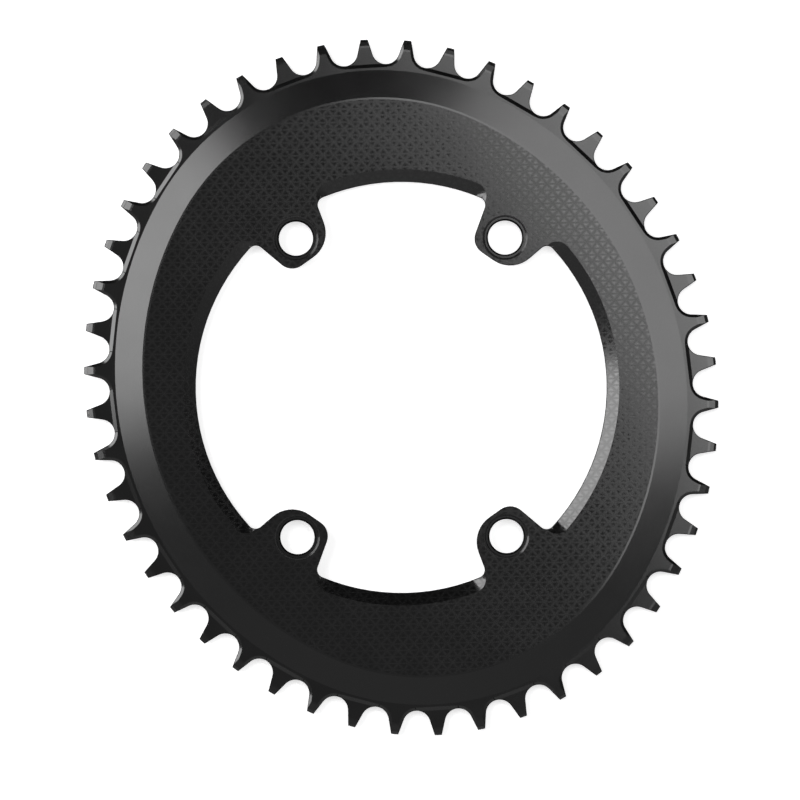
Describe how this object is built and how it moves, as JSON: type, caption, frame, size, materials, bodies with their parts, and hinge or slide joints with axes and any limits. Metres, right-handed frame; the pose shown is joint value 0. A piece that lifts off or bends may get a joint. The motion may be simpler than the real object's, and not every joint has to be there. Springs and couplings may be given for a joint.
{
  "type": "oval bicycle chainring",
  "caption": "Oval narrow-wide chainring, machined from plate, that bolts to the arms of a crank spider and drives a bicycle chain.",
  "frame": {"origin": "on the crank's axis, which is the axis of the bolt circle, at the level of the tooth rim's back face", "axes": "+Z along the crank's axis towards the outer side, +X to the right and +Y up as the ring is seen from outside"},
  "size_m": [0.1916, 0.2102, 0.0053],
  "materials": {
    "anodised_aluminium": "black anodised, satin"
  },
  "bodies": {
    "root": {"chainring": "anodised_aluminium"}
  },
  "joints": []
}
